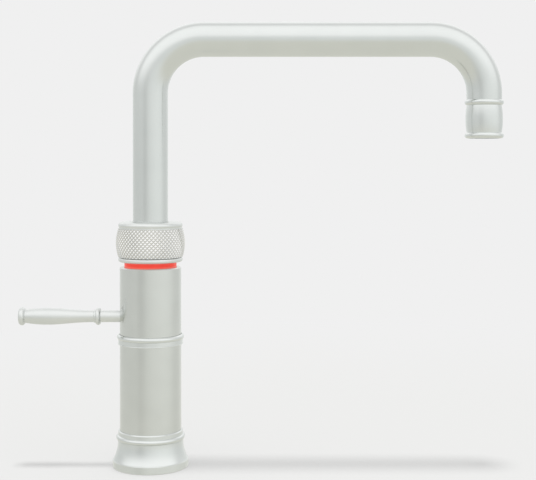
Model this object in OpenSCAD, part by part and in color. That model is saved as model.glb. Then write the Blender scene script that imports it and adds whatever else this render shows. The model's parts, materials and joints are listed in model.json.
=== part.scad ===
// Deck mounted kitchen tap for cold, mixed and boiling water.
// Millimetres. The origin is the centre of the base on the deck, +Z is up,
// the spout reaches towards +X and the mixer lever points towards -X.

/* [Base] */
// Diameter of the base at its rim
base_d = 60.3; // [58:0.1:66]
// Height of the upright rim at the foot of the base
rim_h = 6; // [4:0.5:8]
// Height of the whole base, up to the foot of the column
base_h = 29.2; // [26:0.1:34]
// Diameter of the waist above the flare
waist_d = 52; // [51.4:0.2:53]
// Radius of the threaded hole for the fixing shank
shank_r = 14.2; // [13.2:0.1:14.2]
// Thickness of the floor of the base
floor_t = 9; // [8:0.5:11]
// Width of the rubber gasket ring
gasket_w = 4.5; // [3:0.1:5]
// Depth of the gasket
gasket_t = 1.8; // [1:0.1:3]

/* [Column] */
// Outer diameter of the two sleeves
column_d = 49; // [48:0.25:50.5]
// Wall of the sleeves
sleeve_wall = 2; // [1.7:0.1:2.3]
// Height of the lower sleeve between the base and the middle ring
lower_h = 68.4; // [60:0.1:90]
// Height of the middle ring
mid_h = 8; // [7:0.1:10]
// Height of the upper sleeve above the middle ring
upper_h = 53.5; // [52:0.1:60]
// Thickness of the round beads on the base and the middle ring
bead_t = 4.2; // [3.2:0.1:4.8]
// How far these beads stand out from the sleeves
bead_out = 2.7; // [2.2:0.1:3.4]

/* [Water ways] */
// Distance of the three inlets from the column axis
inlet_pcr = 8; // [7.8:0.1:9]
// Radius of the threaded inlet sockets
inlet_r = 4.45; // [3.6:0.05:4.6]
// Depth of the inlet sockets
inlet_depth = 10; // [8:0.5:12]
// Radius of the cold and hot risers
riser_r = 4; // [3:0.1:4.2]
// Radius of the boiling riser
boil_riser_r = 2.5; // [2:0.1:2.8]
// Wall of the riser tubes
riser_wall = 0.8; // [0.5:0.1:1]

/* [Mixer] */
// Height of the lever axis above the middle ring
lever_rise = 13.8; // [13.4:0.1:15]
// Lift of the lever from shut to full flow, in degrees
lever_lift = 25; // [15:1:25]
// Radius of the cartridge housing
cart_r = 13.9; // [13.5:0.1:14]
// Radius of the fixed ceramic disc
seat_disc_r = 11.5; // [11:0.1:11.5]
// Radius of the sliding ceramic disc
slide_disc_r = 8.7; // [8:0.1:8.7]
// Distance from the lever axis down to the tip of its finger
finger_len = 11.8; // [11.6:0.1:12]
// Radius of the pin that carries the lever spindle
pin_r = 2; // [1.6:0.1:2.2]

/* [Lever] */
// Radius of the lever stem
stem_r = 4.7; // [4:0.1:4.8]
// Distance from the column axis to the outer face of the lever collar
stem_reach = 45.5; // [40:0.5:55]
// Radius of the bead on the lever collar
collar_bead_r = 6.9; // [6:0.1:8]
// Length of the lever grip
grip_len = 60.1; // [45:0.1:80]
// Radius of the grip's end bead
end_bead_r = 7.2; // [6:0.1:9]
// Radius that the swell of the grip is drawn towards
grip_swell_r = 8.9; // [7:0.1:10]

/* [Boiling water knob] */
// Height of the red light ring that shows below the knob
light_h = 4.2; // [3.4:0.1:5]
// Height of the lower ring of the knob
low_ring_h = 3.8; // [3.4:0.1:5]
// Height of the knurled grip
knurl_h = 22.9; // [22:0.1:30]
// Height of the upper ring of the knob
top_ring_h = 5; // [4:0.1:6]
// Diameter of the lower and upper rings of the knob
ring_d = 51.4; // [50.8:0.1:54]
// Diameter of the knurled grip at its ends
knurl_end_d = 51.9; // [51:0.1:54]
// Diameter of the knurled grip at its middle
knurl_mid_d = 55.4; // [54.2:0.1:58]
// Number of knurl diamonds round the grip
knurl_count = 52; // [40:1:60]
// Depth of the knurl
knurl_depth = 0.8; // [0.4:0.1:1]
// Push of the knob that frees it to turn
knob_travel = 2.5; // [1.5:0.1:2.5]
// Wire of the knob spring
spring_wire = 0.9; // [0.7:0.05:1]
// Number of turns of the knob spring
spring_turns = 5; // [4:1:6]

/* [Spout] */
// Height of the axis of the level part of the spout
spout_h = 341; // [300:1:380]
// Distance from the column axis to the outlet axis
spout_reach = 267; // [200:1:300]
// Outer radius of the spout tube
spout_r = 14; // [13.6:0.1:14.2]
// Wall of the spout tube
spout_wall = 1.2; // [1:0.1:1.4]
// Centre line radius of the two bends
bend_r = 43; // [36:0.5:60]
// Outer radius of the inner boiling water tube
boil_r = 3; // [2.4:0.1:3]
// Wall of the inner boiling water tube
boil_wall = 1; // [0.6:0.1:1.2]

/* [Outlet] */
// Distance from the end of the second bend down to the outlet barrel
outlet_drop = 5; // [3:0.1:30]
// Length of the outlet barrel with its two beads
outlet_len = 31.2; // [29:0.1:40]
// Radius of the two beads of the outlet barrel
outlet_bead_r = 15.5; // [15:0.1:17]
// Radius of the outlet barrel next to its beads
outlet_end_r = 13.85; // [13.7:0.05:14.3]
// Radius of the outlet barrel at its middle
outlet_mid_r = 14.75; // [14.4:0.05:16]
// Height of each bead of the outlet barrel
outlet_bead_h = 4.8; // [3.6:0.1:5]

/* [Clearances] */
// Gap between pieces that move past each other
run_gap = 0.3; // [0.25:0.05:0.35]
// Radial clearance of a shaft in its bearing
fit_gap = 0.05; // [0.03:0.01:0.08]

/* [Hidden] */
$fn = 72;
edge = 0.4; // small bevel on turned edges
sleeve_edge = 0.7; // bevel at the top of the column
over = 1; // overrun of a cutting tool

// Radii of the column
col_r = column_d / 2;
bore_r = col_r - sleeve_wall;
core_r = bore_r - 0.5;
seat_r = bore_r - 0.8;
bead_r = col_r + bead_out;

// Heights of the column, from the deck up
mid_z = base_h + lower_h;
mid_top = mid_z + mid_h;
column_top = mid_top + upper_h;
knob_z = column_top + light_h;
knurl_z = knob_z + low_ring_h;
top_ring_z = knurl_z + knurl_h;
knob_top = top_ring_z + top_ring_h;
lever_z = mid_top + lever_rise;

// Base
rim_r = base_d / 2;
waist_r = waist_d / 2;
foot_r = waist_r - 0.2;
foot_edge = 0.8;
base_bead_z = base_h - 5.6;
flare_top = base_bead_z - bead_t / 2 - 0.6;
rim_step = 0.6;
flare_in = rim_r - rim_step - waist_r;
flare_rise = flare_top - rim_h - 0.15;
flare_r = (flare_in * flare_in + flare_rise * flare_rise) / (2 * flare_in);
sleeve_seat_z = base_h - 6.3;
gasket_r = rim_r - 2;

// Manifold and risers
man_r = seat_r - 0.1;
riser_socket = 6;
web_t = 5.4;
man_h = inlet_depth + web_t + riser_socket;
man_top = floor_t + man_h;
man_cross_z = man_top - riser_socket - web_t / 2;
gallery_r = 1.8;
boil_x = bore_r - 4.2;
mixed_a = 64;
mixed_pos = [inlet_pcr, sqrt(boil_x * boil_x - inlet_pcr * inlet_pcr)];
seal_t = 1.4;

// Tie bolts
bolt_r = 2;
bolt_head_r = 3.4;
bolt_head_h = 3.5;
bolt_pcr = bore_r - 3.9;
bolt_angles = [100, 220, 340];
bolt_sink = 4.3;

// Cartridge, hung from the lever axis
cup_top = lever_z - stem_r - 1.2;
nut_h = 4;
nut_z = cup_top - nut_h;
nut_r = cart_r + 1.1;
disc_t = 3;
carrier_z = lever_z - finger_len - 2.6;
carrier_h = 4.2;
slide_z = carrier_z - disc_t;
seat_disc_z = slide_z - disc_t;
cup_z = seat_disc_z - 3.3;
core_z = cup_z - 11.7;
cup_r = cart_r + 3.6;
flange_top = mid_z + 5.4;
finger_r = 1.8;
ball_r = 2.3;
slide_shift = finger_len * lever_lift * PI / 360;
disc_bore_r = seat_disc_r + 0.1;
rotor_r = 10;
hub_r = 6.6;
ear_y = 4.8;
hub_y = ear_y - run_gap;
boss_r = hub_y - 0.1;
boss_len = 9;
tip_r = 3;
tip_len = 6.3;

// Slot of the lever
slot_r = stem_r + 0.25;
slot_rise = col_r * tan(lever_lift) + stem_r / cos(lever_lift) + 1 - slot_r;
shield_r = bore_r - 6;
shield_t = 0.9;

// Spine and valve body
spine_in = nut_r + 0.2;
spine_a = 80;
valve_z = column_top - 22.1;
deck_z = valve_z + 6;
gallery_z = valve_z + 3;
port_z = deck_z + 6;
port_r = 12.3;
port_hole_r = 1.3;
rim_in = bore_r - 2.8;
rim_out = bore_r - 0.4;
board_z = deck_z + 7.5;
neck_step_z = column_top + 1.4;
neck_top = knob_z + 23.2;
neck_low_r = 14.5;
neck_r = 13;
journal_r = 10;
neck_bore = journal_r + fit_gap;
boss_out = boil_r + 2;
chamber_top = deck_z + 8;
band_z = deck_z + 1.6;
band_h = 3.8;
valve_screw_r = 1.5;
valve_screw_head_r = 2.4;
valve_screw_pcr = neck_low_r + valve_screw_head_r + 0.1;
valve_screw_angles = [-62, -31, 32];

// Light ring
light_r = bore_r - 1.7;
flange_r = rim_out;
lip_r = light_r + 0.35;

// Rotary boiling valve
sleeve_in = neck_low_r + fit_gap;
sleeve_out = rim_in - run_gap;
sleeve_z = deck_z + run_gap;
sleeve_top = neck_step_z - 3.5;
dog_out = rim_in - 0.4;
dog_in = dog_out - 0.8;
dog_a = 20;
dog_tip = knob_z - 7.8;
notch_z = dog_tip - knob_travel - run_gap;
notch_a = dog_a + 2 * run_gap * 180 / (PI * dog_out);
clip_t = 1;
groove_a = 110;

// Knob slider on the neck
slider_in = neck_low_r + 0.2;
slider_out = dog_in - 0.9;
slider_z = neck_step_z + 1;
slider_top = slider_z + 20;
slider_land = 7;
slider_foot_t = 2;
slider_foot_r = dog_in - run_gap;
key_w = 3;
key_r = neck_r - 1;
spring_top = slider_top - slider_land;
spring_r = (neck_r + slider_in) / 2;

// Knob body
hub_in = slider_out + fit_gap;
shoulder_z = slider_z + slider_foot_t + run_gap;
hub_z = knob_z + 6.8;
hub_top = hub_z + 8;
shell_r = ring_d / 2 - 2.3;
shell_in = shell_r - 2;
low_rim_r = shell_r - 0.8;
low_rim_in = light_r + 0.4;
low_rim_z = knob_z + 1.6;
spigot_in = shell_in - 2;
spigot_h = 6;
knurl_in = shell_r + fit_gap;
relief_top = knurl_z + 0.5;

// Spout
tube_in = spout_r - spout_wall;
bend_z = spout_h - bend_r;
level_end = spout_reach - bend_r;
washer_t = 0.5;
shoulder_r = tube_in - fit_gap;
spout_seat = neck_top + washer_t;
tube_z = spout_seat + run_gap;
root_z = chamber_top + run_gap;
root_spigot = 10;
way_r = 1.6;
way_pcr = 5.9;
seal_r = 0.9;

// Outlet, from the barrel's top edge down
barrel_top = bend_z - outlet_drop;
barrel_z = barrel_top - outlet_len;
tube_end = barrel_top - 2.8;
adaptor_z = barrel_z + 17;
adaptor_top = bend_z - 0.5;
adaptor_in = tube_in - 1.8;
aerator_r = tube_in - 0.85;
aerator_top = barrel_z + 10.2;
nozzle_r = boil_r + 1.2;
nozzle_socket = barrel_z + 12.2;
nozzle_top = nozzle_socket + 10;
boil_end = nozzle_socket + 0.2;

// ---- small builders ----

// A plain ring between two radii and two heights
module ring(r_in, r_out, z0, z1) {
    rotate_extrude() translate([r_in, z0]) square([r_out - r_in, z1 - z0]);
}

// A part of a ring, centred on the direction at
module ring_part(r_in, r_out, z0, z1, at, span) {
    rotate([0, 0, at - span / 2])
        rotate_extrude(angle = span) translate([r_in, z0]) square([r_out - r_in, z1 - z0]);
}

// A round bar or hole along Z at a place in plan
module bar(r, z0, z1, at = [0, 0]) {
    translate([at.x, at.y, z0]) cylinder(r = r, h = z1 - z0);
}

// A round bar along X between two distances
module bar_x(r, x0, x1, y = 0, z = 0) {
    translate([x0, y, z]) rotate([0, 90, 0]) cylinder(r = r, h = x1 - x0);
}

// A round bar along Y between two distances
module bar_y(r, y0, y1, x = 0, z = 0) {
    translate([x, y0, z]) rotate([-90, 0, 0]) cylinder(r = r, h = y1 - y0);
}

// A round seal lying flat
module seal(ring_r, cord_r, z, at = [0, 0]) {
    translate([at.x, at.y, z]) rotate_extrude() translate([ring_r, 0]) circle(r = cord_r);
}

// A split retaining ring, open at the direction at
module clip(r_in, r_out, z, at = 180) {
    difference() {
        ring(r_in, r_out, z, z + clip_t);
        rotate([0, 0, at]) translate([0, -1.2, z - over]) cube([r_out + over, 2.4, clip_t + 2 * over]);
    }
}

// A point at a distance and direction in plan
function polar(r, a) = [r * cos(a), r * sin(a)];

// Plan places of the three inlets: boiling, cold, hot
function inlet(i) = polar(inlet_pcr, 120 * i);

// Plan places and radii of the three risers in the same order
function riser_at(i) = i == 0 ? [boil_x, 0] : inlet(i);
function tube_r(i) = i == 0 ? boil_riser_r : riser_r;

// A turned bead: the outline of a rounded band whose crown is at r
module bead_outline(r, z, t, root_r) {
    translate([r - t / 2, z]) circle(d = t);
    translate([root_r, z - t / 2]) square([r - t / 2 - root_r, t]);
}

// A straight stretch of tube along Z
module tube_part(r_out, r_in, len) {
    linear_extrude(height = len) difference() {
        circle(r = r_out);
        if (r_in > 0) circle(r = r_in);
    }
}

// A bend of tube in the XZ plane, about a centre, from one direction to another
module tube_bend(r_out, r_in, radius, centre, a0, a1) {
    translate([centre.x, 0, centre.y]) rotate([90, 0, 0]) rotate([0, 0, a0])
        rotate_extrude(angle = a1 - a0) translate([radius, 0]) difference() {
            circle(r = r_out);
            if (r_in > 0) circle(r = r_in);
        }
}

// The line of the spout: up, over and down
module spout_line(r_out, r_in, z0, z1) {
    translate([0, 0, z0]) tube_part(r_out, r_in, bend_z - z0);
    tube_bend(r_out, r_in, bend_r, [bend_r, bend_z], 90, 180);
    translate([bend_r, 0, spout_h]) rotate([0, 90, 0]) tube_part(r_out, r_in, level_end - bend_r);
    tube_bend(r_out, r_in, bend_r, [level_end, bend_z], 0, 90);
    translate([spout_reach, 0, z1]) tube_part(r_out, r_in, bend_z - z1);
}

// ---- base and lower column ----

module base_flange() color("gainsboro") difference() {
    rotate_extrude() {
        polygon([
            [0, 0], [rim_r - edge, 0], [rim_r, edge], [rim_r, rim_h - edge],
            [rim_r - edge, rim_h], [0, rim_h]
        ]);
        difference() {
            translate([0, rim_h - edge]) square([rim_r - rim_step, flare_top - rim_h + edge]);
            translate([waist_r + flare_r, flare_top]) circle(r = flare_r, $fn = 360);
        }
        polygon([
            [0, flare_top - 0.1], [foot_r, flare_top - 0.1], [foot_r, base_h - foot_edge],
            [foot_r - foot_edge, base_h], [0, base_h]
        ]);
        bead_outline(bead_r + 0.2, base_bead_z, bead_t, foot_r - over);
    }
    bar(shank_r, -over, floor_t + over);
    bar(seat_r, floor_t, base_h + over);
    bar(col_r + fit_gap, sleeve_seat_z, base_h + over);
    ring(gasket_r - gasket_w, gasket_r, -over, gasket_t);
    for (a = bolt_angles) {
        bar(bolt_r + 0.2, -over, floor_t + over, polar(bolt_pcr, a));
        bar(bolt_head_r + 0.2, -over, bolt_sink, polar(bolt_pcr, a));
    }
}

module base_gasket() color("dimgray")
    ring(gasket_r - gasket_w + fit_gap, gasket_r - fit_gap, 0, gasket_t);

module inlet_manifold() color("goldenrod") difference() {
    bar(man_r, floor_t, man_top);
    for (i = [0:2]) {
        bar(inlet_r, floor_t - over, floor_t + inlet_depth, inlet(i));
        bar(tube_r(i) + fit_gap, man_top - riser_socket, man_top + over, riser_at(i));
        seal_groove(tube_r(i), man_top - riser_socket / 2, riser_at(i));
    }
    for (i = [1, 2]) bar(riser_r - riser_wall, floor_t, man_top, inlet(i));
    // the boiling way is drilled across to its own riser
    bar(gallery_r + 0.2, floor_t, man_cross_z, inlet(0));
    bar(gallery_r - 0.2, man_cross_z, man_top, riser_at(0));
    bar_x(gallery_r, inlet_pcr, man_r + over, 0, man_cross_z);
    bar_x(gallery_r + 0.7, boil_x + gallery_r, man_r + over, 0, man_cross_z);
    for (a = bolt_angles) bar(bolt_r + 0.2, floor_t - over, man_top + over, polar(bolt_pcr, a));
}

// The groove round a riser end for its seal
module seal_groove(r, z, at) {
    bar(r + seal_t, z - seal_t / 2, z + seal_t / 2, at);
}

module tie_bolts() color("silver")
    for (a = bolt_angles) {
        at = polar(bolt_pcr, a);
        difference() {
            bar(bolt_head_r, bolt_sink - bolt_head_h, bolt_sink, at);
            translate([at.x, at.y, bolt_sink - bolt_head_h - over])
                cylinder(r = 1.7, h = 2 + over, $fn = 6);
        }
        bar(bolt_r, bolt_sink, core_z + 8, at);
    }

module riser(i) {
    translate([riser_at(i).x, riser_at(i).y, man_top - riser_socket])
        tube_part(tube_r(i), tube_r(i) - riser_wall, core_z + 5 - man_top + riser_socket);
}

module boiling_riser() color("peru") riser(0);

module cold_riser() color("peru") riser(1);

module hot_riser() color("peru") riser(2);

module riser_seals() color("dimgray")
    for (i = [0:2]) for (z = [man_top - riser_socket / 2, core_z + 3])
        seal(tube_r(i) + seal_t / 2, seal_t / 2 - fit_gap, z, riser_at(i));

// ---- core with the mixing cartridge ----

module core_body() color("goldenrod") difference() {
    union() {
        bar(core_r, core_z, flange_top);
        bar(cup_r, core_z, cup_top);
        ring_part(spine_in, core_r - 0.2, flange_top - 3, valve_z, 0, 2 * spine_a);
    }
    bar(cart_r + 0.1, cup_z, cup_top + over);
    bar(nut_r + fit_gap, nut_z, cup_top + over);
    for (i = [0:2]) {
        bar(tube_r(i) + fit_gap, core_z - over, core_z + 5, riser_at(i));
        seal_groove(tube_r(i), core_z + 3, riser_at(i));
    }
    for (i = [1, 2]) bar(gallery_r, core_z, cup_z + over, inlet(i));
    bar(gallery_r, core_z, valve_z + over, [boil_x, 0]);
    // mixed water leaves the cartridge by a cross drilling and climbs the spine
    bar(gallery_r, cross_z, cup_z + over, inlet(0));
    bar_y(gallery_r + 0.25, -core_r, mixed_pos.y + gallery_r - 0.3, inlet_pcr, cross_z);
    bar_y(gallery_r + 0.8, -core_r, plug_y + 5, inlet_pcr, cross_z);
    bar(gallery_r, cross_z, valve_z + over, mixed_pos);
    for (at = [[boil_x, 0], mixed_pos]) bar(gallery_r + 1.1, valve_z - seal_t / 2, valve_z + over, at);
    for (a = bolt_angles) bar(bolt_r + fit_gap, core_z - over, core_z + 8.5, polar(bolt_pcr, a));
    for (a = valve_screw_angles)
        bar(valve_screw_r + fit_gap, valve_z - 8, valve_z + over, polar(valve_screw_pcr, a));
}
cross_z = core_z + 7.3;
plug_y = -sqrt(core_r * core_r - pow(inlet_pcr + gallery_r + 0.8, 2)) + 0.2;

module gallery_plugs() color("darkgoldenrod") {
    bar_x(gallery_r + 0.65, boil_x + gallery_r + 0.1, man_r - 0.3, 0, man_cross_z);
    bar_y(gallery_r + 0.75, plug_y, plug_y + 4.9, inlet_pcr, cross_z);
    bar_x(port_hole_r + 0.65, boil_x + gallery_r + 0.5, core_r - 0.4, 0, gallery_z);
    bar_y(port_hole_r + 0.65, core_r - 4.4, core_r - 0.4, 0, gallery_z);
}

module gallery_seals() color("dimgray")
    for (at = [[boil_x, 0], mixed_pos]) seal(gallery_r + 0.55, 0.3, valve_z - 0.35, at);

module lower_sleeve() color("lightgray")
    ring(bore_r, col_r, sleeve_seat_z, flange_top - 2.2);

// The middle ring caps the lower sleeve and screws on the core
module mid_ring() color("gainsboro") difference() {
    rotate_extrude() {
        polygon([
            [core_r, mid_z], [col_r + mid_collar - edge, mid_z], [col_r + mid_collar, mid_z + edge],
            [col_r + mid_collar, mid_top - bead_t / 2 - 0.1], [core_r, mid_top - bead_t / 2 - 0.1]
        ]);
        translate([col_r + mid_collar, mid_z + mid_lip]) circle(r = mid_lip);
        bead_outline(bead_r - 0.5, mid_top - bead_t / 2 - 0.1, bead_t, core_r);
    }
    bar(core_r + fit_gap, mid_z - over, mid_top + over);
    bar(col_r + fit_gap, mid_z - over, flange_top - 2.2);
    bar(col_r + run_gap, glide_z, mid_top + over);
}
mid_collar = 1.15;
mid_lip = 0.42;
glide_z = flange_top + 0.2;
glide_t = 0.8;

module sleeve_glide_ring() color("whitesmoke")
    ring(core_r + 0.2, col_r + run_gap - 0.1, glide_z, glide_z + glide_t);

module cartridge_housing() color("whitesmoke") difference() {
    bar(cart_r, cup_z + 0.2, nut_z);
    bar(disc_bore_r, seat_disc_z, nut_z + over);
    for (i = [0:2]) {
        bar(gallery_r, cup_z, seat_disc_z + over, inlet(i));
        bar(gallery_r + 1.6, cup_z, cup_z + 1.2, inlet(i));
    }
}

module cartridge_seals() color("dimgray")
    for (i = [0:2]) translate([inlet(i).x, inlet(i).y, 0])
        ring(gallery_r + 0.2, gallery_r + 1.5, cup_z, cup_z + 1.1);

module ceramic_seat_disc() color("white") difference() {
    bar(seat_disc_r, seat_disc_z, slide_z);
    for (i = [0:2]) bar(gallery_r + 0.2, seat_disc_z - over, slide_z + over, inlet(i));
}

module cartridge_nut() color("goldenrod") difference() {
    bar(nut_r, nut_z, cup_top);
    bar(disc_bore_r + 0.8, nut_z - over, cup_top - 1.9);
    bar(rotor_r + run_gap, nut_z - over, cup_top + over);
    for (a = [45:90:315])
        rotate([0, 0, a]) translate([nut_r - 2, -1.5, cup_top - 1.5]) cube([3, 3, 3]);
}

// The rotor turns with the upper sleeve and carries the lever on its fork
module cartridge_rotor() color("whitesmoke") difference() {
    union() {
        bar(disc_bore_r + 0.5, nut_z + 0.1, cup_top - 2.2);
        bar(rotor_r, nut_z + 0.1, lever_z + 5);
    }
    translate([-rotor_r - over, -ear_y, lever_z - hub_r - 0.5])
        cube([2 * (rotor_r + over), 2 * ear_y, hub_r + 6 + over]);
    translate([-finger_swing, -ball_r - 0.4, nut_z - over])
        cube([finger_swing + ball_r + 0.4, 2 * ball_r + 0.8, 6]);
    bar_y(pin_r + 0.02, -rotor_r - over, rotor_r + over, 0, lever_z);
}
finger_swing = finger_len * sin(lever_lift) + ball_r + run_gap;

module spindle_pin() color("silver") bar_y(pin_r, -rotor_r + 1, rotor_r - 1, 0, lever_z);

module ceramic_slide_disc() color("white") difference() {
    bar(slide_disc_r, slide_z, carrier_z, [slide_shift, 0]);
    bar(slide_disc_r - 4, slide_z - over, slide_z + 1.5, [slide_shift + 1, 0]);
}

module disc_carrier() color("slategray") difference() {
    bar(slide_disc_r - 0.1, carrier_z, carrier_z + carrier_h, [slide_shift, 0]);
    translate([-ball_r - 0.35, -ball_r - 0.35, carrier_z - over])
        cube([2 * ball_r + 0.7, 2 * ball_r + 0.7, carrier_h + 2 * over]);
}

// ---- lever ----

module lever_spindle() color("silver") difference() {
    union() {
        bar_y(hub_r, -hub_y, hub_y, 0, lever_z);
        bar_x(boss_r, -boss_len, 0, 0, lever_z);
        bar(finger_r, lever_z - finger_len, lever_z);
        translate([0, 0, lever_z - finger_len]) sphere(r = ball_r);
    }
    bar_y(pin_r + fit_gap, -hub_y - over, hub_y + over, 0, lever_z);
    bar_x(tip_r + 0.02, -boss_len - over, -boss_len + tip_len + 0.1, 0, lever_z);
    bar(1.27, lever_z, lever_z + boss_r + over, [-boss_len + 1.8, 0]);
}

module lever_grub_screw() color("dimgray")
    bar(1.25, lever_z + tip_r + 0.02, lever_z + boss_r - 0.1, [-boss_len + 1.8, 0]);

// The shield closes the slot behind the stem
module dust_shield() color("darkslategray") difference() {
    union() {
        translate([0, 0, lever_z]) rotate([90, 0, 0]) translate([0, 0, -6.2])
            rotate([0, 0, 115]) rotate_extrude(angle = 79) translate([shield_r - shield_t, 0])
                square([shield_t, 12.4]);
        bar_x(stem_r + 0.8, -shield_r - 2.2, -shield_r + 0.4, 0, lever_z);
    }
    bar_x(stem_r + fit_gap, -shield_r - 4, -shield_r + 4, 0, lever_z);
}

module lever_stem() color("gainsboro") difference() {
    union() {
        bar_x(stem_r, -stem_reach, -boss_len, 0, lever_z);
        bar_x(tip_r, -boss_len, -boss_len + tip_len, 0, lever_z);
    }
    bar_x(stud_r + 0.02, -stem_reach - over, -stem_reach + stud_in, 0, lever_z);
}
stud_r = 2.5;
stud_in = 10;

// Turned pieces of the lever are drawn upright and laid along -X
module lay_along_lever() {
    translate([0, 0, lever_z]) rotate([0, -90, 0]) children();
}

module lever_collar() color("gainsboro") lay_along_lever() difference() {
    rotate_extrude() {
        bead_outline(collar_bead_r, stem_reach - 3.7, 4, stem_r);
        bead_outline(stem_r + 0.6, stem_reach - 1.2, 2.4, stem_r - over);
    }
    bar(stem_r + 0.02, stem_reach - 8, stem_reach + 4);
}

module lever_stud() color("silver")
    bar_x(stud_r, -stem_reach - stud_in, -stem_reach + stud_in, 0, lever_z);

// A point on a cubic curve through two ends, drawn towards two guides
function curve(t, a, b, c, d) =
    pow(1 - t, 3) * a + 3 * pow(1 - t, 2) * t * b + 3 * (1 - t) * t * t * c + t * t * t * d;

module lever_grip() color("gainsboro") lay_along_lever() {
    steps = 28;
    bead_w = 5.5;
    swell_end = grip_len - bead_w;
    a = [stem_r, 0];
    b = [stem_r, 0.4 * swell_end];
    c = [grip_swell_r, 0.61 * swell_end];
    d = [stem_r + 0.5, swell_end + 0.4];
    side = [for (i = [0:steps]) curve(i / steps, a, b, c, d)];
    translate([0, 0, stem_reach]) difference() {
        rotate_extrude() {
            polygon(concat([[0, 0]], side, [[0, swell_end + 0.4]]));
            bead_outline(end_bead_r, grip_len - bead_w / 2, bead_w - 0.6, 0);
            intersection() {
                translate([0, grip_len - 20]) circle(r = 20);
                translate([0, grip_len - bead_w]) square([end_bead_r - 2, bead_w]);
            }
        }
        bar(stud_r + 0.02, -over, stud_in + 0.2);
    }
}

// ---- upper column ----

module upper_sleeve() color("lightgray") difference() {
    rotate_extrude() polygon([
        [bore_r, glide_z + glide_t + 0.1], [col_r, glide_z + glide_t + 0.1],
        [col_r, column_top - sleeve_edge], [col_r - sleeve_edge, column_top], [lip_r, column_top],
        [lip_r, column_top - 1.1], [bore_r, column_top - 1.1]
    ]);
    bar_x(slot_r, -col_r - over, -bore_r / 2, 0, lever_z);
    bar_x(slot_r, -col_r - over, -bore_r / 2, 0, lever_z + slot_rise);
    translate([-col_r - over, -slot_r, lever_z]) cube([col_r / 2 + over, 2 * slot_r, slot_rise]);
}

module valve_body() color("goldenrod") difference() {
    union() {
        bar(core_r, valve_z, deck_z);
        ring(rim_in, rim_out, deck_z - 0.3, board_z);
        bar(neck_low_r, deck_z - over, neck_step_z);
        bar(neck_r, deck_z, neck_top);
    }
    // bore for the spout, round the socket of the boiling tube
    difference() {
        bar(neck_bore, deck_z, neck_top + over);
        bar(boss_out, deck_z - over, deck_z + 6.5);
    }
    bar(boil_r + fit_gap, deck_z + 1.5, chamber_top);
    bar(boil_r - boil_wall, gallery_z, deck_z + 2);
    // boiling water: rear gallery to the first port, second port to the middle
    bar(gallery_r, valve_z - over, gallery_z, [boil_x, 0]);
    bar_x(port_hole_r, port_r, core_r + over, 0, gallery_z);
    bar_x(port_hole_r + 0.7, boil_x + gallery_r + 0.4, core_r + over, 0, gallery_z);
    bar_y(port_hole_r, 0, core_r + over, 0, gallery_z);
    bar_y(port_hole_r + 0.7, core_r - 4.5, core_r + over, 0, gallery_z);
    for (a = [0, 90]) rotate([0, 0, a]) {
        bar(port_hole_r, gallery_z, port_z, [port_r, 0]);
        bar_x(port_hole_r, port_r, neck_low_r + over, 0, port_z);
    }
    // mixed water, drilled at a slant into the chamber round the socket
    slant_hole(
        [mixed_pos.x, mixed_pos.y, valve_z - over],
        [mixed_pos.x / 2, mixed_pos.y / 2.4, deck_z + over]
    );
    // retaining grooves
    ring(neck_bore - over, journal_r + 0.9, spout_clip_z - 0.4, spout_clip_z + clip_t + 0.4);
    ring(neck_r - 0.7, neck_r + over, slider_top + 0.1, slider_top + clip_t + 0.2);
    ring(neck_low_r - 0.6, neck_low_r + over, sleeve_top + 0.3, sleeve_top + clip_t + 0.4);
    ring(rim_out - 0.5, rim_out + over, band_z - 0.1, band_z + band_h + 0.1);
    // keyways of the slider
    for (side = [-1, 1]) translate([-key_w / 2, side > 0 ? key_r : -neck_r - over, neck_step_z + 5])
        cube([key_w, neck_r + over - key_r, neck_top]);
    for (a = valve_screw_angles) {
        bar(valve_screw_r + 0.1, valve_z - over, deck_z + over, polar(valve_screw_pcr, a));
        bar(valve_screw_head_r + 0.08, deck_z - 2.6, deck_z + over, polar(valve_screw_pcr, a));
    }
}
spout_clip_z = root_z + 2;

// A drilled way from one point to another
module slant_hole(from, to) {
    d = to - from;
    flat = norm([d.x, d.y]);
    translate(from) rotate([0, atan2(flat, d.z), atan2(d.y, d.x)])
        cylinder(r = gallery_r - 0.1, h = norm(d));
}

module valve_screws() color("silver")
    for (a = valve_screw_angles) {
        at = polar(valve_screw_pcr, a);
        bar(valve_screw_r, valve_z - 7, deck_z - 2.5, at);
        difference() {
            bar(valve_screw_head_r, deck_z - 2.6, deck_z - 0.1, at);
            translate([at.x, at.y, deck_z - 1.4]) cylinder(r = 1.25, h = 3, $fn = 6);
        }
    }

module glide_band() color("whitesmoke") ring(rim_out - 0.45, bore_r - fit_gap, band_z, band_z + band_h);

module neck_clips() color("silver") {
    clip(neck_r - 0.65, neck_r + 1.5, slider_top + 0.15, 0);
    clip(neck_low_r - 0.55, neck_low_r + 1, sleeve_top + 0.35, 180);
}

module led_board() color("seagreen") ring(rim_in + 0.1, flange_r - 0.8, board_z, board_z + 1);

module leds() color("white")
    for (a = [0:45:315]) rotate([0, 0, a])
        translate([rim_in + 0.35, -0.8, board_z + 1]) cube([1, 1.6, 1.2]);

// The light ring stands on the rim over the lamps and shows below the knob
module light_ring() color("red") rotate_extrude() polygon([
    [flange_r - 0.7, board_z], [flange_r, board_z], [flange_r, column_top - 1.4],
    [light_r, column_top - 1.4], [light_r, knob_z + 1.5], [light_r - 0.3, knob_z + 1.8],
    [rim_in, knob_z + 1.8], [rim_in, board_z + 3.5], [flange_r - 0.7, board_z + 3.5]
]);

// ---- boiling water valve and its knob ----

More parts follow.
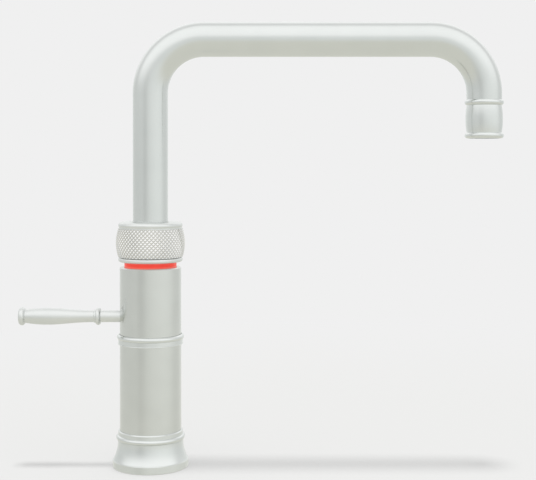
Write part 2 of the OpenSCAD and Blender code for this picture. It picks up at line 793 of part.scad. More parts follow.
module valve_sleeve() color("darkgoldenrod") difference() {
    bar(sleeve_out, sleeve_z, sleeve_top);
    bar(sleeve_in, sleeve_z - over, sleeve_top + over);
    // the groove joins both ports once the knob has turned a quarter
    ring_part(sleeve_in - over, sleeve_in + 1.45, port_z - 1.5, port_z + 1.5, -45, groove_a);
    for (z = [sleeve_z + 1.6, sleeve_top - 2]) ring(sleeve_in - over, sleeve_in + 1.3, z - 0.75, z + 0.75);
    for (a = [45:90:315])
        ring_part(dog_in - 0.4, sleeve_out + over, notch_z, sleeve_top + over, a, notch_a);
}

module valve_seals() color("dimgray")
    for (z = [sleeve_z + 1.6, sleeve_top - 2]) seal(sleeve_in + 0.65, 0.6, z);

module knob_slider() color("slategray") {
    difference() {
        union() {
            bar(slider_out, slider_z, slider_top);
            bar(slider_foot_r, slider_z, slider_z + slider_foot_t);
        }
        bar(neck_r + fit_gap, slider_z - over, slider_top + over);
        bar(slider_in, slider_z - over, spring_top);
        ring(slider_out - 0.7, slider_out + over, hub_top + 0.15, hub_top + clip_t + 0.25);
    }
    // keys that stop it turning on the neck
    for (side = [-1, 1]) translate([-key_w / 2 + 0.15, side > 0 ? key_r + 0.15 : -neck_r - 0.6, spring_top])
        cube([key_w - 0.3, neck_r + 0.6 - key_r - 0.15, slider_land]);
}

module slider_clip() color("silver") clip(slider_out - 0.65, slider_out + 1.3, hub_top + 0.2, 90);

// Helical spring of round wire between two heights
module knob_spring() color("silver") {
    sides = 8;
    per_turn = 24;
    steps = spring_turns * per_turn;
    wire_r = spring_wire / 2;
    z0 = neck_step_z + wire_r + 0.05;
    rise = spring_top - neck_step_z - 2 * wire_r - 0.1;
    points = [
        for (i = [0:steps]) let (a = 360 * i / per_turn, z = z0 + rise * i / steps)
            for (j = [0:sides - 1]) let (b = 360 * j / sides, r = spring_r + wire_r * cos(b))
                [r * cos(a), r * sin(a), z + wire_r * sin(b)]
    ];
    faces = [
        for (i = [0:steps - 1]) for (j = [0:sides - 1]) let (k = (j + 1) % sides)
            each [
                [i * sides + j, (i + 1) * sides + j, (i + 1) * sides + k],
                [i * sides + j, (i + 1) * sides + k, i * sides + k]
            ],
        [for (j = [0:sides - 1]) j],
        [for (j = [sides - 1:-1:0]) steps * sides + j]
    ];
    polyhedron(points, faces);
}

module knob_carrier() color("goldenrod") {
    rotate_extrude() polygon([
        [dog_in, hub_z - 9], [dog_out, hub_z - 9], [dog_out, hub_z], [low_rim_in, hub_z],
        [low_rim_in, low_rim_z], [low_rim_r, low_rim_z], [low_rim_r, knurl_z],
        [shell_r, knurl_z], [shell_r, top_ring_z], [shell_in, top_ring_z], [shell_in, hub_top],
        [hub_in, hub_top], [hub_in, shoulder_z], [dog_in, shoulder_z]
    ]);
    // dogs that turn the valve sleeve
    for (a = [45:90:315]) ring_part(dog_in + 0.1, dog_out - 0.1, dog_tip, hub_z - 8.5, a, dog_a);
}

module knob_bottom_ring() color("gainsboro") difference() {
    rotate_extrude() bead_outline(ring_d / 2, knob_z + low_ring_h / 2, low_ring_h, low_rim_in);
    bar(low_rim_r + fit_gap, low_rim_z - 0.1, knurl_z + over);
}

// Rows of pointed diamonds on a crowned barrel, above a plain relief groove
module knurled_grip() color("lightgray") {
    columns = 2 * knurl_count;
    mid = (relief_top + top_ring_z) / 2;
    half = (top_ring_z - relief_top) / 2;
    rows = 2 * round(half * columns / (PI * knurl_mid_d));
    sag = (knurl_mid_d - knurl_end_d) / 2;
    crown_r = (half * half + sag * sag) / (2 * sag);
    relief_r = knurl_end_d / 2 - knurl_depth - 0.3;
    // each ring is its height and its two radii, taken in turn
    rings = concat(
        [[knurl_z, knurl_in, knurl_in], [knurl_z, relief_r, relief_r], [relief_top, relief_r, relief_r]],
        [for (k = [0:rows]) let (
            z = mid - half + 2 * half * k / rows,
            r = knurl_mid_d / 2 - crown_r + sqrt(crown_r * crown_r - pow(z - mid, 2)),
            valley = r - knurl_depth
        ) k % 2 == 0 ? [z, r, valley] : [z, valley, r]],
        [[top_ring_z, knurl_in, knurl_in]]
    );
    points = [for (g = rings) for (i = [0:columns - 1])
        let (a = 360 * i / columns, r = g[1 + i % 2]) [r * cos(a), r * sin(a), g[0]]];
    // every four points are split along the groove between two diamonds
    faces = [for (k = [0:len(rings) - 1]) for (i = [0:columns - 1])
        let (
            up = (k + 1) % len(rings) * columns,
            next = (i + 1) % columns,
            a = k * columns + i,
            b = k * columns + next,
            c = up + next,
            d = up + i
        )
        each ((k + i) % 2 == 0 ? [[a, d, c], [a, c, b]] : [[a, d, b], [d, c, b]])];
    polyhedron(points, faces);
}

module knob_top_ring() color("gainsboro") rotate_extrude() {
    bead_outline(ring_d / 2 - 0.1, top_ring_z + top_ring_h / 2, top_ring_h, spout_r + 0.4);
    translate([spout_r + 1, top_ring_z]) square([ring_d / 2 - 0.6 - spout_r - 1, top_ring_h / 2]);
    translate([spigot_in, top_ring_z - spigot_h]) square([shell_in - fit_gap - spigot_in, spigot_h + over]);
}

// ---- spout ----

module spout_root() color("goldenrod") difference() {
    union() {
        bar(journal_r, root_z, spout_seat);
        bar(shoulder_r, spout_seat, spout_seat + root_spigot);
    }
    bar(boil_r + fit_gap, root_z - over, spout_seat + root_spigot + over);
    bar(shoulder_r - 1.6, spout_seat + 4, spout_seat + root_spigot + over);
    for (a = [45:90:315]) bar(way_r, root_z - over, spout_seat + root_spigot + over, polar(way_pcr, a));
    for (z = spout_seal_z) ring(journal_r - 1.85, journal_r + over, z - 1.1, z + 1.1);
    ring(journal_r - 1.3, journal_r + over, spout_clip_z - 0.05, spout_clip_z + clip_t + 0.05);
}
spout_seal_z = [root_z + 9, neck_top - 8];

module spout_seals() color("dimgray") for (z = spout_seal_z) seal(journal_r - seal_r, seal_r - 0.02, z);

module spout_clip() color("silver") clip(journal_r - 1.25, journal_r + 0.5, spout_clip_z, 0);

module spout_washer() color("whitesmoke") ring(journal_r + 0.3, shoulder_r - 0.1, neck_top, spout_seat);

module spout_tube() color("gainsboro") spout_line(spout_r, tube_in, tube_z, tube_end);

module boiling_tube() color("ivory") spout_line(boil_r, boil_r - boil_wall, deck_z + 1.7, boil_end);

// A star that keeps the inner tube in the middle of the spout
module spacer(reach) {
    difference() {
        union() {
            cylinder(r = boil_r + 1.5, h = 5);
            for (a = [0:120:240]) rotate([0, 0, a]) translate([0, -0.6, 0]) cube([reach, 1.2, 5]);
        }
        translate([0, 0, -over]) cylinder(r = boil_r + fit_gap, h = 5 + 2 * over);
    }
}

module tube_spacers() color("whitesmoke") {
    translate([0, 0, (tube_z + bend_z) / 2]) spacer(tube_in - 0.2);
    translate([(bend_r + level_end) / 2, 0, spout_h]) rotate([0, 90, 0]) spacer(tube_in - 0.2);
    translate([spout_reach, 0, adaptor_top - 8]) spacer(adaptor_in - 0.2);
}

// ---- outlet ----

module outlet_adaptor() color("goldenrod")
    translate([spout_reach, 0, 0]) ring(adaptor_in, shoulder_r, adaptor_z, adaptor_top);

module outlet_barrel() color("gainsboro") translate([spout_reach, 0, 0]) difference() {
    mid = barrel_z + outlet_len / 2;
    half = outlet_len / 2 - outlet_bead_h;
    sag = outlet_mid_r - outlet_end_r;
    crown_r = (half * half + sag * sag) / (2 * sag);
    rotate_extrude() {
        intersection() {
            translate([outlet_mid_r - crown_r, mid]) circle(r = crown_r, $fn = 360);
            translate([0, barrel_z + over]) square([outlet_mid_r, outlet_len - 2 * over]);
        }
        bead_outline(outlet_bead_r, barrel_top - outlet_bead_h / 2, outlet_bead_h, 0);
        bead_outline(outlet_bead_r, barrel_z + outlet_bead_h / 2, outlet_bead_h, 0);
    }
    bar(tube_in, barrel_z + 12, barrel_top + over);
    bar(aerator_r + fit_gap, barrel_z - over, barrel_top);
    bar(spout_r + fit_gap, tube_end - 0.1, barrel_top + over);
}

module aerator_housing() color("slategray") translate([spout_reach, 0, 0]) {
    ring(aerator_r - 1.6, aerator_r, barrel_z + 0.5, aerator_top);
    ring(nozzle_r + fit_gap, nozzle_r + 1.2, barrel_z + 2, aerator_top);
    for (a = [0:60:300]) rotate([0, 0, a])
        translate([nozzle_r + 1, -0.6, aerator_top - 5]) cube([aerator_r - nozzle_r - 2.2, 1.2, 5]);
}

module aerator_screen() color("gray") translate([spout_reach, 0, 0]) difference() {
    ring(nozzle_r + 1.25, aerator_r - 1.65, barrel_z + 1, barrel_z + 2.2);
    for (ring_no = [0:1]) {
        hole_count = 14 + 6 * ring_no;
        hole_r = nozzle_r + 2.5 + 2.1 * ring_no;
        for (i = [0:hole_count - 1]) bar(0.7, barrel_z, barrel_z + 4, polar(hole_r, 360 * i / hole_count));
    }
}

module boiling_nozzle() color("silver") translate([spout_reach, 0, 0]) difference() {
    bar(nozzle_r, barrel_z + 0.4, nozzle_top);
    bar(boil_r - boil_wall, barrel_z - over, nozzle_top);
    bar(boil_r + fit_gap, nozzle_socket, nozzle_top + over);
}

base_flange();
base_gasket();
inlet_manifold();
tie_bolts();
cold_riser();
hot_riser();
boiling_riser();
riser_seals();
core_body();
gallery_plugs();
gallery_seals();
lower_sleeve();
mid_ring();
sleeve_glide_ring();
cartridge_housing();
cartridge_seals();
ceramic_seat_disc();
cartridge_nut();
valve_body();
valve_screws();
glide_band();
neck_clips();
led_board();
leds();
light_ring();
knob_spring();
upper_sleeve();
cartridge_rotor();
spindle_pin();
ceramic_slide_disc();
disc_carrier();
lever_spindle();
lever_grub_screw();
dust_shield();
lever_stem();
lever_collar();
lever_stud();
lever_grip();
valve_sleeve();
valve_seals();
knob_slider();
slider_clip();
knob_carrier();
knob_bottom_ring();
knurled_grip();
knob_top_ring();
spout_root();
spout_seals();
spout_clip();
spout_washer();
spout_tube();
boiling_tube();
tube_spacers();
outlet_adaptor();
outlet_barrel();
aerator_housing();
aerator_screen();
boiling_nozzle();
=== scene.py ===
import json
import math

import bpy
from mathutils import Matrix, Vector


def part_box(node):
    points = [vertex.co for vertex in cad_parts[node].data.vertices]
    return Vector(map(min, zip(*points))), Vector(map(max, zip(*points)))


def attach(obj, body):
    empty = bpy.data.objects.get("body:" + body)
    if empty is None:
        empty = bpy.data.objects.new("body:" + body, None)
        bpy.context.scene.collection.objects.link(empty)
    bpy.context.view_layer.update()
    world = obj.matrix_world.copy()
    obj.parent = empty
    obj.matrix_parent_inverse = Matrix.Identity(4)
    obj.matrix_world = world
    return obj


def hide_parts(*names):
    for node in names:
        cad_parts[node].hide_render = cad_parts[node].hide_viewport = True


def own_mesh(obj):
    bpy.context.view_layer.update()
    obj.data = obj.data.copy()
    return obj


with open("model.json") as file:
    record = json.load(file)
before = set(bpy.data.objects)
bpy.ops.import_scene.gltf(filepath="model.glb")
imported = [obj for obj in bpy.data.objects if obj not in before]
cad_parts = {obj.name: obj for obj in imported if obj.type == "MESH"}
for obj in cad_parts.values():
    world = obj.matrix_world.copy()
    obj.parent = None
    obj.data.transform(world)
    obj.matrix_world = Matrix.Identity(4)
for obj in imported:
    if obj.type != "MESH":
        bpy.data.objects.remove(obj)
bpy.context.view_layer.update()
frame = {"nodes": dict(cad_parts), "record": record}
nodes = frame["nodes"]
print("frame loaded:", len(nodes), "nodes")


def toLinear(hexCode):
    # the curve and its numbers are those of the sRGB standard
    parts = [int(hexCode[i:i + 2], 16) / 255 for i in (1, 3, 5)]
    return [p / 12.92 if p <= 0.04045 else ((p + 0.055) / 1.055) ** 2.4 for p in parts] + [1]


def addNode(tree, kind, values=None, links=None, stops=None, **settings):
    node = tree.nodes.new(kind)
    for name, value in settings.items():
        setattr(node, name, value)
    for socket, value in (values or {}).items():
        node.inputs[socket].default_value = value
    for socket, source in (links or {}).items():
        tree.links.new(source, node.inputs[socket])
    # a ramp's colours by position, from low to high; two stops are there from the start
    for i, (position, colour) in enumerate((stops or {}).items()):
        elements = node.color_ramp.elements
        element = elements[i] if i < len(elements) else elements.new(position)
        element.position = position
        element.color = colour
    return node


def startMaterial(name, values=None):
    material = bpy.data.materials.new(name)
    material.use_nodes = True
    tree = material.node_tree
    shader = tree.nodes["Principled BSDF"]
    for socket, value in (values or {}).items():
        shader.inputs[socket].default_value = value
    coords = addNode(tree, "ShaderNodeTexCoord")
    return material, tree, shader, coords.outputs["Object"]


noiseRange = (0.3, 0.7)  # nearly all of a noise lies in here


def mottle(tree, shader, coords, patchMm, detail, rough, colours, bump=0, reliefMm=0.1):
    # slow patches of colour and roughness and, with a bump, a faint relief, all drawn from one noise
    low, high = noiseRange
    noise = addNode(tree, "ShaderNodeTexNoise", {"Scale": 1000 / patchMm, "Detail": detail},
                    {"Vector": coords})
    patches = noise.outputs["Fac"]
    dulled = addNode(tree, "ShaderNodeMapRange",
                     {"From Min": low, "From Max": high, "To Min": rough[0], "To Max": rough[1]},
                     {"Value": patches})
    tree.links.new(dulled.outputs["Result"], shader.inputs["Roughness"])
    tinted = addNode(tree, "ShaderNodeValToRGB", None, {"Fac": patches},
                     {low: toLinear(colours[0]), high: toLinear(colours[1])})
    tree.links.new(tinted.outputs["Color"], shader.inputs["Base Color"])
    if bump:
        grain = addNode(tree, "ShaderNodeBump", {"Strength": bump, "Distance": reliefMm / 1000},
                        {"Height": patches})
        tree.links.new(grain.outputs["Normal"], shader.inputs["Normal"])


# satin nickel on stainless steel: the two colours, roughness and making of each kind of piece
satinFinish = {
    "sleeve": {"colours": ("#d6d8d5", "#dadcd9"), "rough": (0.2, 0.23), "made": "turned"},
    "tube": {"colours": ("#dadddc", "#dde0df"), "rough": (0.21, 0.24), "made": "drawn"},
    "ring": {"colours": ("#dfe2e1", "#e6e8e7"), "rough": (0.36, 0.42), "made": "turned"},
    "body": {"colours": ("#dbdedd", "#e1e4e3"), "rough": (0.21, 0.25), "made": "turned"},
    "knurl": {"colours": ("#e7e7e6", "#f0f0ef"), "rough": (0.13, 0.17), "made": "turned"},
    "lever": {"colours": ("#dfe2e1", "#e5e7e6"), "rough": (0.4, 0.46), "made": "drawn"},
}

# the real lines are about 0.03 mm wide, and these are wider so that they show
satinLines = {
    "wideMm": 0.96,  # widest lines, and each finer set is half as wide
    "finerSets": 4,
    "finerShare": 0.65,  # strength of each set against the one before
    "longMm": {"turned": 25, "drawn": 40},
    "bump": 0.06,
    "reliefMm": 0.06,
}

# painted shade: the grooves of the knurl are coloured darker than the tips, standing in for the shade that
# falls in them
grooveShade = {
    "shade": 0.66,  # colour at the bottom of a groove, as a share of that on the tips
    "brightFrom": 0.6,  # height above the bottom, as a share of the depth, where the full colour starts
}


def paintGrooveShade(tree, shader):
    # painted shade: the base colour darkens towards the bottom of each groove, by the height stored on the
    # mesh
    lift = addNode(tree, "ShaderNodeAttribute", attribute_name="lift")
    shadeByHeight = addNode(tree, "ShaderNodeMapRange",
                   {"From Max": grooveShade["brightFrom"], "To Min": grooveShade["shade"]},
                   {"Value": lift.outputs["Fac"]})
    tipColour = shader.inputs["Base Color"].links[0].from_socket
    shadedColour = addNode(tree, "ShaderNodeVectorMath", None, {0: tipColour, 1: shadeByHeight.outputs["Result"]},
                   operation="MULTIPLY")
    tree.links.new(shadedColour.outputs["Vector"], shader.inputs["Base Color"])


def satinNickel(kind):
    # stainless steel with a satin nickel-coloured finish: soft reflections, drawn out by fine lines
    finish = satinFinish[kind]
    material, tree, shader, coords = startMaterial(kind + "Nickel", {"Metallic": 1})
    mottle(tree, shader, coords, patchMm=18.18, detail=3, rough=finish["rough"], colours=finish["colours"])
    across = 1000 / satinLines["wideMm"]
    along = 1000 / satinLines["longMm"][finish["made"]]
    # a turned piece has its lines round Z, and a drawn one along X
    stretch = (along, along, across) if finish["made"] == "turned" else (along, across, across)
    mapped = addNode(tree, "ShaderNodeMapping", {"Scale": stretch}, {"Vector": coords})
    lines = addNode(tree, "ShaderNodeTexNoise",
                    {"Scale": 1, "Detail": satinLines["finerSets"], "Roughness": satinLines["finerShare"]},
                    {"Vector": mapped.outputs["Vector"]})
    relief = addNode(tree, "ShaderNodeBump",
                     {"Strength": satinLines["bump"], "Distance": satinLines["reliefMm"] / 1000},
                     {"Height": lines.outputs["Fac"]})
    tree.links.new(relief.outputs["Normal"], shader.inputs["Normal"])
    # the knurl gets painted shade in its grooves
    if kind == "knurl":
        paintGrooveShade(tree, shader)
    return material


def machinedBrass():
    # turned brass: warm yellow metal with faint tool marks
    material, tree, shader, coords = startMaterial("machinedBrass", {"Metallic": 1})
    mottle(tree, shader, coords, patchMm=16.67, detail=4, rough=(0.25, 0.38), colours=("#b98f45", "#d3b169"),
           bump=0.1)
    return material


def drawnCopper():
    # drawn copper tube: red metal, slightly dulled
    material, tree, shader, coords = startMaterial("drawnCopper", {"Metallic": 1})
    mottle(tree, shader, coords, patchMm=20, detail=4, rough=(0.28, 0.42), colours=("#b06a4c", "#d28d6c"))
    return material


def plainStainless():
    # plain machined stainless steel of screws, pins and rings
    material, tree, shader, coords = startMaterial("plainStainless", {"Metallic": 1})
    mottle(tree, shader, coords, patchMm=8.33, detail=3, rough=(0.24, 0.36), colours=("#a9abad", "#c4c6c8"),
           bump=0.08, reliefMm=0.05)
    return material


def sealRubber():
    # moulded black EPDM: matt, with a fine grain
    material, tree, shader, coords = startMaterial("sealRubber")
    mottle(tree, shader, coords, patchMm=2.5, detail=3, rough=(0.58, 0.74), colours=("#161617", "#232324"),
           bump=0.25)
    return material


def whiteAcetal():
    # machined white acetal: waxy, half matt
    material, tree, shader, coords = startMaterial("whiteAcetal")
    mottle(tree, shader, coords, patchMm=6.25, detail=3, rough=(0.36, 0.48), colours=("#dcdcd6", "#eaeae6"),
           bump=0.1, reliefMm=0.05)
    return material


def greyNylon():
    # glass-filled grey nylon: moulded, with a faint grain
    material, tree, shader, coords = startMaterial("greyNylon")
    mottle(tree, shader, coords, patchMm=3.33, detail=3, rough=(0.44, 0.58), colours=("#424448", "#525458"),
           bump=0.2)
    return material


def alumina():
    # lapped alumina ceramic: white and nearly mirror smooth
    material, tree, shader, coords = startMaterial("alumina", {"IOR": 1.76})
    mottle(tree, shader, coords, patchMm=11.1, detail=2, rough=(0.1, 0.16), colours=("#ebe9e2", "#f4f2ee"))
    return material


def ptfeTube():
    # extruded fluoropolymer tube: milky white and half matt
    material, tree, shader, coords = startMaterial("ptfeTube")
    mottle(tree, shader, coords, patchMm=8.33, detail=3, rough=(0.32, 0.44), colours=("#e4e0d2", "#f0ede3"))
    return material


# the ring below the knob, lit from inside
lens = {
    "foot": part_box("upper_sleeve")[1][2],
    "head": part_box("knob_bottom_ring")[0][2],
    "core": "#ff3a24",
    "rim": "#ffa898",
    "rimShare": 0.3,  # share of the height in which each rim passes into the core
    "glow": 0.31,
}


def redPolycarbonate():
    # red polycarbonate with lamps behind it: deep red at mid height, milky towards both rims
    material, tree, shader, coords = startMaterial("redPolycarbonate", {"Emission Strength": lens["glow"]})
    mottle(tree, shader, coords, patchMm=9.09, detail=2, rough=(0.3, 0.4), colours=("#e03424", "#f24a36"),
           bump=0.05)
    split = addNode(tree, "ShaderNodeSeparateXYZ", None, {"Vector": coords})
    height = addNode(tree, "ShaderNodeMapRange", {"From Min": lens["foot"], "From Max": lens["head"]},
                     {"Value": split.outputs["Z"]})
    core = toLinear(lens["core"])
    rim = toLinear(lens["rim"])
    light = addNode(tree, "ShaderNodeValToRGB", None, {"Fac": height.outputs["Result"]},
                    {0: rim, lens["rimShare"]: core, 1 - lens["rimShare"]: core, 1: rim})
    tree.links.new(light.outputs["Color"], shader.inputs["Emission Color"])
    return material


def greenBoard():
    # fibreglass circuit board under green lacquer
    material, tree, shader, coords = startMaterial("greenBoard")
    mottle(tree, shader, coords, patchMm=1.43, detail=2, rough=(0.3, 0.42), colours=("#1a5c32", "#267a44"))
    return material


def lampWhite():
    # small white lamp bodies
    material, tree, shader, coords = startMaterial("lampWhite")
    mottle(tree, shader, coords, patchMm=2, detail=2, rough=(0.26, 0.36), colours=("#eeeade", "#f8f6ee"))
    return material


finishes = {kind: satinNickel(kind) for kind in satinFinish}
finishes.update({
    "brass": machinedBrass(),
    "copper": drawnCopper(),
    "stainless": plainStainless(),
    "rubber": sealRubber(),
    "acetal": whiteAcetal(),
    "nylon": greyNylon(),
    "ceramic": alumina(),
    "ptfe": ptfeTube(),
    "redLens": redPolycarbonate(),
    "board": greenBoard(),
    "lamp": lampWhite(),
})

slotFinish = {
    "satin_metal": "ring",
    "knurled_metal": "knurl",
    "brass_body": "brass",
    "riser_copper": "copper",
    "steel_hardware": "stainless",
    "black_rubber": "rubber",
    "white_plastic": "acetal",
    "grey_plastic": "nylon",
    "ceramic": "ceramic",
    "tube_plastic": "ptfe",
    "red_lens": "redLens",
    "circuit_board": "board",
    "lamp": "lamp",
    "screen_steel": "stainless",
}
# pieces whose finish isn't the usual one of their slot
nodeFinish = {
    "lower_sleeve": "sleeve",
    "upper_sleeve": "sleeve",
    "spout_tube": "tube",
    "lever_stem": "lever",
    "lever_grip": "lever",
    "lever_collar": "lever",
    "outlet_barrel": "body",
    "base_flange": "body",
    "mid_ring": "body",
}

for part in frame["record"]["subparts"]:
    name = part["node"]
    finish = nodeFinish.get(name, slotFinish[part["material_slot"]])
    nodes[name].data.materials.clear()
    nodes[name].data.materials.append(finishes[finish])
print("materials:", len(finishes))


# knurled grip of the boiling water knob
knurl = {
    "around": 52,  # diamonds round the grip
    "rows": 7,  # diamonds from the relief groove to the top
    "reliefMm": 0.15,  # height of the plain relief groove at the foot
    "reliefUnderMm": 0.3,  # how much deeper it is than the knurl
    "depthMm": 0.66,
    "crownMm": 1.75,  # how far the middle stands out from the ends
    "clearanceMm": 0.05,  # between the bore and the carrier
    "tipLand": 0.12,  # share of the depth that is flat on the tips
    "samples": 8,  # mesh steps across a diamond
}


def ridge(x):
    # 1 at whole numbers, falling to 0 halfway between them
    return abs(2 * (x - math.floor(x)) - 1)


def buildKnurledGrip():
    low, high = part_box("knurled_grip")
    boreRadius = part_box("knob_carrier")[1][0] + knurl["clearanceMm"] / 1000
    middleRadius = high[0]
    footTop = low[2] + knurl["reliefMm"] / 1000
    half = (high[2] - footTop) / 2
    middle = footTop + half
    depth = knurl["depthMm"] / 1000
    crown = knurl["crownMm"] / 1000
    reliefRadius = middleRadius - crown - depth - knurl["reliefUnderMm"] / 1000
    columns = knurl["around"] * knurl["samples"]
    rows = knurl["rows"] * knurl["samples"]
    # each ring's height, radius and place among the rows of diamonds, or None where it is plain
    rings = [(low[2], boreRadius, None), (low[2], reliefRadius, None), (footTop, reliefRadius, None)]
    for row in range(rows + 1):
        z = footTop + 2 * half * row / rows
        rings.append((z, middleRadius - crown * ((z - middle) / half) ** 2, row / knurl["samples"]))
    rings.append((high[2], boreRadius, None))
    verts = []
    lifts = []
    for z, radius, v in rings:
        for i in range(columns):
            lift = 0
            r = radius
            if v is not None:
                # two sets of grooves cross, and what stands between them are the diamonds
                u = i / knurl["samples"]
                lift = min(1, min(ridge(u + v), ridge(u - v)) / (1 - knurl["tipLand"]))
                r -= depth * (1 - lift)
            lifts.append(lift)
            angle = 2 * math.pi * i / columns
            verts.append((r * math.cos(angle), r * math.sin(angle), z))
    faces = []
    for ring in range(len(rings)):
        here = ring * columns
        above = (ring + 1) % len(rings) * columns
        for i in range(columns):
            j = (i + 1) % columns
            faces.append([here + i, here + j, above + j, above + i])
    mesh = bpy.data.meshes.new("knurledGripFine")
    mesh.from_pydata(verts, [], faces)
    mesh.update()
    mesh.attributes.new("lift", "FLOAT", "POINT").data.foreach_set("value", lifts)
    grip = bpy.data.objects.new("knurledGripFine", mesh)
    bpy.context.scene.collection.objects.link(grip)
    mesh.materials.append(finishes["knurl"])
    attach(grip, "knob")
    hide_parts("knurled_grip")


def buildKnobSpring():
    # the coil stands on the neck; here it is a plain copy that goes with the column and keeps its length
    coil = nodes["knob_spring"]
    spring = bpy.data.objects.new("knobSpringCoil", coil.data.copy())
    bpy.context.scene.collection.objects.link(spring)
    spring.matrix_world = coil.matrix_world.copy()
    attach(spring, "column")
    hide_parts("knob_spring")
    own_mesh(spring)


buildKnurledGrip()
buildKnobSpring()
print("knurled grip and knob spring built")


# pale seamless studio with soft boxes round it
studio = {
    "backdrop": "#f0f0f0",
    "floorBoard": "#b1b1b0",
    "floorSizeM": 6.0,
    "floorMiddleM": 0.12,  # place of its middle along the spout
    "floorDropMm": 0.2,  # how far the floor lies below the foot
    "floorGlow": 0.45,  # share of the backdrop's own light near the object
    "floorFadeM": (0.25, 0.8),  # where the floor starts to fade and where it is all backdrop
    # brightness of the walls, by bearing in degrees from the camera's side, positive towards the spout
    "horizon": {-180: 0.93, -162: 0.90, -138: 0.78, -108: 0.76, -78: 0.75, -56: 0.76, -38: 0.66, -26: 0.72,
                -12: 0.84, 10: 0.92, 33: 0.96, 52: 0.98, 74: 0.95, 92: 0.84, 108: 0.79, 130: 0.82,
                155: 0.92, 180: 0.93},
    "wallTint": (0.98, 1.0, 0.98),
    # brightness of the ceiling from front (-1) over the zenith (0) to back (1)
    "ceiling": {-1: 0.96, -0.85: 0.975, -0.5: 1, -0.25: 0.99, -0.05: 0.97, 0.1: 0.82, 0.28: 0.67, 0.45: 0.75,
                0.7: 0.97, 1: 0.93},
    "ceilingTint": (1.2, 1.2, 1.19),
    "below": (0.79, 0.785, 0.71),  # warmer than the rest
    # steepness of a direction, 1 straight up and -1 straight down, where one passes into the next
    "wallsToCeiling": (0.0, 0.5),
    "wallsToBelow": (-0.04, -0.42),
}


def paleFloor():
    # matt white board whose far parts fade into the backdrop
    material = bpy.data.materials.new("paleFloor")
    material.use_nodes = True
    tree = material.node_tree
    tree.nodes.clear()
    coords = addNode(tree, "ShaderNodeTexCoord")
    diffuse = addNode(tree, "ShaderNodeBsdfDiffuse", {"Color": toLinear(studio["floorBoard"])})
    glow = addNode(tree, "ShaderNodeEmission", {"Color": toLinear(studio["backdrop"]), "Strength": 1})
    distance = addNode(tree, "ShaderNodeVectorMath", None, {0: coords.outputs["Object"]}, operation="LENGTH")
    near, far = studio["floorFadeM"]
    fade = addNode(tree, "ShaderNodeMapRange",
                   {"From Min": near, "From Max": far, "To Min": studio["floorGlow"]},
                   {"Value": distance.outputs["Value"]}, interpolation_type="SMOOTHSTEP")
    mix = addNode(tree, "ShaderNodeMixShader", None,
                  {"Fac": fade.outputs["Result"], 1: diffuse.outputs["BSDF"], 2: glow.outputs["Emission"]})
    addNode(tree, "ShaderNodeOutputMaterial", None, {"Surface": mix.outputs["Shader"]})
    return material


def buildFloor():
    half = studio["floorSizeM"] / 2
    corners = [(-half, -half, 0), (half, -half, 0), (half, half, 0), (-half, half, 0)]
    floorMesh = bpy.data.meshes.new("studioFloor")
    floorMesh.from_pydata(corners, [], [(0, 1, 2, 3)])
    floorMesh.materials.append(paleFloor())
    floor = bpy.data.objects.new("studioFloor", floorMesh)
    bpy.context.scene.collection.objects.link(floor)
    floor.location = (studio["floorMiddleM"], 0, -studio["floorDropMm"] / 1000)
    floor.visible_glossy = False


def levels(tree, source, middle, reach, stops, tint):
    # brightness by a bearing or a coordinate; the stops run from middle - reach to middle + reach
    place = addNode(tree, "ShaderNodeMapRange", {"From Min": middle - reach, "From Max": middle + reach},
                    {"Value": source})
    ends = max(stops)
    greys = {at / ends / 2 + 0.5: (level, level, level, 1) for at, level in stops.items()}
    ramp = addNode(tree, "ShaderNodeValToRGB", None, {"Fac": place.outputs["Result"]}, greys)
    tinted = addNode(tree, "ShaderNodeVectorMath", {1: tint}, {0: ramp.outputs["Color"]},
                     operation="MULTIPLY")
    return tinted.outputs["Vector"]


# a colour Mix node's sockets go by number, because their names come more than once
mixFrom, mixTo, mixResult = 6, 7, 2


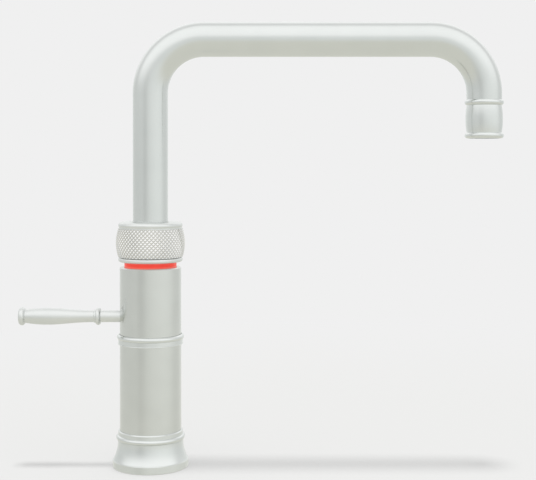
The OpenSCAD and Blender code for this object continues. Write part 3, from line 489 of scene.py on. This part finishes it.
def buildWorld():
    # soft boxes: a ring of pale walls, a bright front ceiling and a warmer floor, over a plain backdrop
    world = bpy.data.worlds.new("studioWorld")
    world.use_nodes = True
    tree = world.node_tree
    tree.nodes.clear()
    coords = addNode(tree, "ShaderNodeTexCoord")
    split = addNode(tree, "ShaderNodeSeparateXYZ", None, {"Vector": coords.outputs["Generated"]})
    front = addNode(tree, "ShaderNodeMath", {1: -1.0}, {0: split.outputs["Y"]}, operation="MULTIPLY")
    bearing = addNode(tree, "ShaderNodeMath", None, {0: split.outputs["X"], 1: front.outputs["Value"]},
                      operation="ARCTAN2")
    cameraSide = math.atan2(camera["at"][0], -camera["at"][1])
    walls = levels(tree, bearing.outputs["Value"], cameraSide, math.pi, studio["horizon"], studio["wallTint"])
    ceiling = levels(tree, split.outputs["Y"], 0, 1, studio["ceiling"], studio["ceilingTint"])
    steepness = {"Value": split.outputs["Z"]}
    first, last = studio["wallsToCeiling"]
    rise = addNode(tree, "ShaderNodeMapRange", {"From Min": first, "From Max": last}, steepness,
                   interpolation_type="SMOOTHSTEP")
    upper = addNode(tree, "ShaderNodeMix", None,
                    {"Factor": rise.outputs["Result"], mixFrom: walls, mixTo: ceiling}, data_type="RGBA")
    first, last = studio["wallsToBelow"]
    fall = addNode(tree, "ShaderNodeMapRange", {"From Min": first, "From Max": last}, steepness,
                   interpolation_type="SMOOTHSTEP")
    whole = addNode(tree, "ShaderNodeMix", {mixTo: (*studio["below"], 1)},
                    {"Factor": fall.outputs["Result"], mixFrom: upper.outputs[mixResult]}, data_type="RGBA")
    boxes = addNode(tree, "ShaderNodeBackground", None, {"Color": whole.outputs[mixResult]})
    backdrop = addNode(tree, "ShaderNodeBackground", {"Color": toLinear(studio["backdrop"])})
    path = addNode(tree, "ShaderNodeLightPath")
    mix = addNode(tree, "ShaderNodeMixShader", None,
                  {"Fac": path.outputs["Is Camera Ray"], 1: boxes.outputs["Background"],
                   2: backdrop.outputs["Background"]})
    addNode(tree, "ShaderNodeOutputWorld", None, {"Surface": mix.outputs["Shader"]})
    bpy.context.scene.world = world


# one overhead light, for the shadow under the spout
overhead = {"strength": 2.77, "angleDeg": 7.0, "tiltDeg": 0.7, "heightM": 1.5}


def buildOverhead():
    data = bpy.data.lights.new("overhead", "SUN")
    data.energy = overhead["strength"]
    data.angle = math.radians(overhead["angleDeg"])
    lamp = bpy.data.objects.new("overhead", data)
    lamp.location = (0, 0, overhead["heightM"])
    lamp.rotation_euler = (math.radians(overhead["tiltDeg"]), 0, 0)
    lamp.visible_glossy = False
    bpy.context.scene.collection.objects.link(lamp)


camera = {
    "at": (0.0885, -0.910, 0.245),
    "downDeg": 0.5,
    "focalPx": 1137,  # focal length in pixels of the frame
    "frameWidthPx": 536,
    "sensorMm": 36,
    "shift": (0.0130, -0.1318),  # in frame widths, only as large as the photo's framing needs
}


def buildCamera():
    data = bpy.data.cameras.new("camera")
    data.sensor_width = camera["sensorMm"]
    data.lens = camera["focalPx"] * camera["sensorMm"] / camera["frameWidthPx"]
    data.shift_x, data.shift_y = camera["shift"]
    view = bpy.data.objects.new("camera", data)
    view.location = camera["at"]
    view.rotation_euler = (math.radians(90 - camera["downDeg"]), 0, 0)
    bpy.context.scene.collection.objects.link(view)
    bpy.context.scene.camera = view


buildFloor()
buildWorld()
buildOverhead()
buildCamera()
bpy.context.scene.view_settings.view_transform = "Standard"
print("studio, lights and camera placed")
